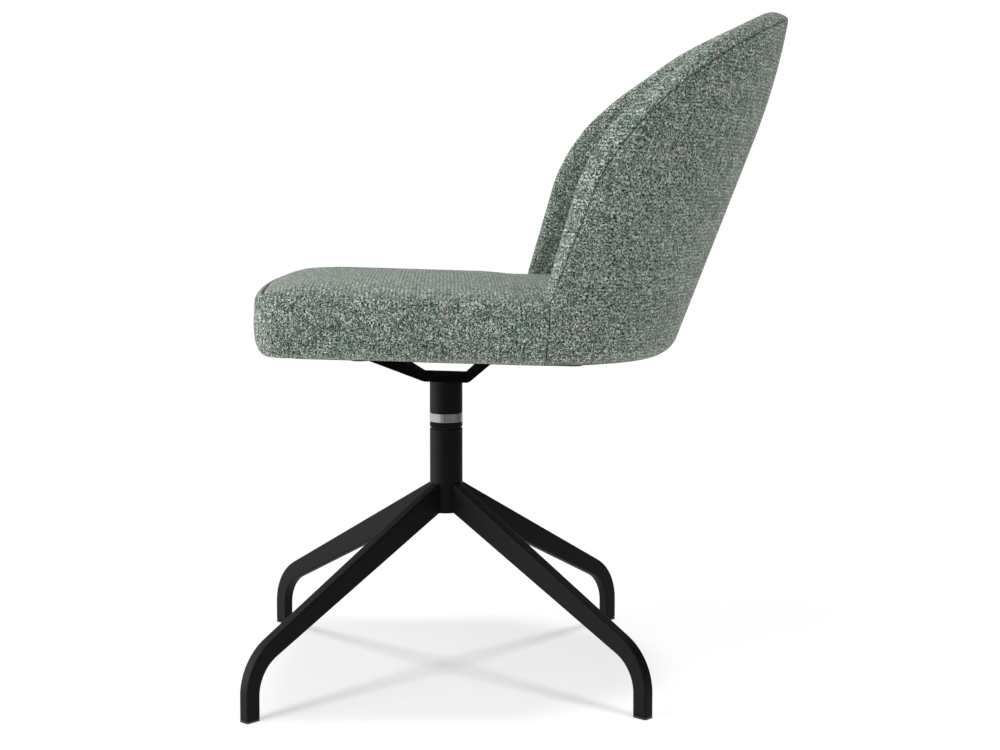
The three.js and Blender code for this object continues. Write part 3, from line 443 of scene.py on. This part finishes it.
def fine_shading():
    """Geometry Nodes: faces shade smooth, and edges sharper than the given angle stay crisp."""
    tree = bpy.data.node_groups.new("fine_shading", "GeometryNodeTree")
    tree.interface.new_socket("Geometry", in_out="INPUT", socket_type="NodeSocketGeometry")
    sharp = tree.interface.new_socket("Sharp Angle", in_out="INPUT", socket_type="NodeSocketFloat")
    sharp.default_value = math.radians(28)
    tree.interface.new_socket("Geometry", in_out="OUTPUT", socket_type="NodeSocketGeometry")
    start = add(tree, "NodeGroupInput")
    angle = add(tree, "GeometryNodeInputMeshEdgeAngle")
    soft = add(tree, "FunctionNodeCompare",
               {"A": angle.outputs["Unsigned Angle"], "B": start.outputs["Sharp Angle"]}, operation="LESS_THAN")
    faces = add(tree, "GeometryNodeSetShadeSmooth", {"Geometry": start.outputs["Geometry"]}, domain="FACE")
    edges = add(tree, "GeometryNodeSetShadeSmooth", {"Geometry": faces, "Shade Smooth": soft}, domain="EDGE")
    add(tree, "NodeGroupOutput", {"Geometry": edges})
    return tree


shading = fine_shading()
cloth = boucle()
# polyester powder coat on steel: matt black, with an orange peel of about 1 mm
coat = grained("powder_coat_black", "#0e0e0f", 0.58, grain=1.111, strength=0.25, depth=0.2, detail=2.0, specular=0.1)
# painted shade: a darker, duller copy of the black powder coat for the bracket, which stands in the seat's shade
shaded_coat_copy = grained("powder_coat_black_painted_shade", "#08080a", 0.9, specular=0.02)
finishes = {
    "black_coat": coat,
    "brushed_ring": brushed_steel(),
    # zinc plate: a pale grey metal with a soft shine
    "bare_steel": grained("steel_zinc_plated", "#8c8e90", 0.35, metallic=1.0),
    # moulded nylon: near black, with a low sheen
    "black_plastic": grained("polyamide_moulded_black", "#161616", 0.55),
    # turned acetal: ivory and slightly waxy
    "bearing_plastic": grained("acetal_turned", "#d8d4c8", 0.45),
    # sanded beech veneer: warm and matt, with a wide, faint figure
    "plywood": grained("beech_plywood_sanded", "#c49a6a", 0.7, grain=16.67),
    # fibre felt: black and fuzzy
    "dust_cloth": grained("fibre_felt_black", "#121212", 0.95, grain=1.25, strength=0.6),
    "upholstery": cloth,
}
for part in frame["record"]["subparts"]:
    thing = nodes[part["node"]]
    thing.data.materials.clear()
    # the bracket takes the darker copy of the coat, its painted shade
    thing.data.materials.append(shaded_coat_copy if part["node"] == "seat_bracket" else finishes[part["material_slot"]])
    thing.modifiers.new("fine_shading", "NODES").node_group = shading

# ---------------------------------------------------------------- upholstery pieces
seat, back_outer, back_inner = seat_cushion(), outer_panel(), inner_pad()
for piece, node, fill in ((seat, "seat_cushion", 0.9), (back_outer, "back_outer_panel", None),
                          (back_inner, "back_inner_pad", 0.9)):
    piece.data.materials.append(cloth)
    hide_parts(node)
    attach(piece, "seat")


# ---------------------------------------------------------------- floor and room
def seen_directly(tree):
    """1 for the rays that look: from the camera, off polished surfaces and through clear ones. 0 for light's."""
    rays = add(tree, "ShaderNodeLightPath").outputs
    seen = add(tree, "ShaderNodeMath", {0: rays["Is Camera Ray"], 1: rays["Is Glossy Ray"]}, operation="MAXIMUM")
    return add(tree, "ShaderNodeMath", {0: seen, 1: rays["Is Transmission Ray"]}, operation="MAXIMUM")


def white_floor():
    """A matt white floor. The camera sees it a little over white, so that only the chair's shadow shows."""
    # matt is what lights the chair from below; shadowed and lift together are what the camera sees
    material, tree = new_material("floor_white")
    matt = add(tree, "ShaderNodeBsdfDiffuse", {"Color": (0.42, 0.42, 0.42, 1)})
    shadowed = add(tree, "ShaderNodeBsdfDiffuse", {"Color": (0.22, 0.22, 0.22, 1)})
    lift = add(tree, "ShaderNodeEmission", {"Strength": 0.435})
    bright = add(tree, "ShaderNodeAddShader", {0: shadowed, 1: lift})
    mix = add(tree, "ShaderNodeMixShader", {0: seen_directly(tree), 1: matt, 2: bright})
    add(tree, "ShaderNodeOutputMaterial", {"Surface": mix})
    return material


def stage_plane(name, size, location, rotation, material):
    """A plane that belongs to the studio and is no piece of the chair."""
    bpy.ops.mesh.primitive_plane_add(size=size, location=location, rotation=rotation)
    plane = bpy.context.object
    plane.name = name
    plane.data.materials.append(material)
    return plane


floor = stage_plane("floor", 40, (0, 0, 0), (0, 0, 0), white_floor())

# the camera and the polished surfaces see white, and everything else is lit by a soft grey room
world = bpy.data.worlds.new("studio")
bpy.context.scene.world = world
world.use_nodes = True
world.cycles.sampling_method = "NONE"
world.node_tree.nodes.clear()
brightness = add(world.node_tree, "ShaderNodeMapRange",
                 {"Value": seen_directly(world.node_tree), "To Min": 0.7, "To Max": 1.0})
background = add(world.node_tree, "ShaderNodeBackground", {"Color": (1, 1, 1, 1), "Strength": brightness})
add(world.node_tree, "ShaderNodeOutputWorld", {"Surface": background})

# black flags on the camera's side and beyond the right, which show in the metal alone
flag_black, flag_tree = new_material("flag_black")
flag_surface = add(flag_tree, "ShaderNodeBsdfPrincipled", {"Base Color": (0, 0, 0, 1), "Specular IOR Level": 0.0})
add(flag_tree, "ShaderNodeOutputMaterial", {"Surface": flag_surface})
for flag in (stage_plane("flag_front", 2.3, (0.9, 0.3, 1.15), (0, HALF_PI, 0), flag_black),
             stage_plane("flag_right", 1.8, (0, 0.9, 0.9), (0, HALF_PI, HALF_PI), flag_black)):
    flag.visible_camera = flag.visible_diffuse = flag.visible_shadow = flag.visible_transmission = False


# ---------------------------------------------------------------- lights
def light_object(name, kind, energy, location):
    light = bpy.data.lights.new(name, kind)
    light.energy = energy
    thing = bpy.data.objects.new(name, light)
    thing.location = location
    bpy.context.scene.collection.objects.link(thing)
    return thing


def softbox(name, location, target, size, power):
    thing = light_object(name, "AREA", power, location)
    thing.data.shape = "RECTANGLE"
    thing.data.size, thing.data.size_y = size
    thing.rotation_euler = (Vector(target) - Vector(location)).to_track_quat("-Z", "Y").to_euler()
    return thing


def overhead(name, strength, degrees):
    """A light straight down from above; the wider its angle, the softer its shadow."""
    thing = light_object(name, "SUN", strength, (0, 0, 3))
    thing.data.angle = math.radians(degrees)
    return thing


def linked(name, things, state="INCLUDE"):
    """A collection for light linking, with its members included or left out."""
    group = bpy.data.collections.new(name)
    for thing in things:
        group.objects.link(thing)
    for member in group.collection_objects:
        member.light_linking.link_state = state
    return group


base_nodes = [nodes[name] for name in frame["record"]["behaviour"]["bodies"]["base"]]
coated = [thing for thing in base_nodes if thing.data.materials[0] == coat] + [nodes["upper_tube"]]
only_floor = linked("only_the_floor", [floor])

# one softbox from the front for everything, a low card for the cloth and one for the coated steel
softbox("front_light", (1.0, -1.6, 2.0), (0, 0, 0.55), (1.4, 1.4), 37)
front_card = softbox("front_card", (0.4, -2.4, 0.9), (0, 0.1, 0.6), (1.4, 1.4), 22)
front_card.light_linking.receiver_collection = linked("upholstery_pieces", [seat, back_outer, back_inner])
left_card = softbox("left_card", (0, -2.0, 0.5), (0, 0, 0.3), (1.6, 1.2), 34)
left_card.light_linking.receiver_collection = linked("coated_steel", coated)
# a faint wide light from overhead for the chair, and two for the shadow of the seat and of the legs on the floor
overhead("overhead", 0.25, 110).light_linking.receiver_collection = linked("not_the_floor", [floor], "EXCLUDE")
for name, strength, degrees, blockers in (("seat_shade", 2.4, 10, [seat]), ("leg_shade", 3.6, 15, base_nodes)):
    light = overhead(name, strength, degrees)
    light.light_linking.receiver_collection = only_floor
    light.light_linking.blocker_collection = linked("shades_" + name, blockers)

# ---------------------------------------------------------------- camera
camera_data = bpy.data.cameras.new("camera")
camera = bpy.data.objects.new("camera", camera_data)
bpy.context.scene.collection.objects.link(camera)
bpy.context.scene.camera = camera
camera_data.sensor_width = 36
camera_data.lens = camera_data.sensor_width * 1.795    # the pinhole that was fitted to the photograph
camera_data.shift_y = -0.09
camera_data.clip_start, camera_data.clip_end = 0.05, 100
camera.location = (2.1850, -0.09556, 0.6153)
yaw, pitch = 0.0315, 0.066
aim = Vector((-math.cos(yaw) * math.cos(pitch), math.sin(yaw) * math.cos(pitch), -math.sin(pitch)))
camera.rotation_euler = aim.to_track_quat("-Z", "Y").to_euler()

bpy.context.scene.view_settings.view_transform = "Standard"

bpy.context.view_layer.update()
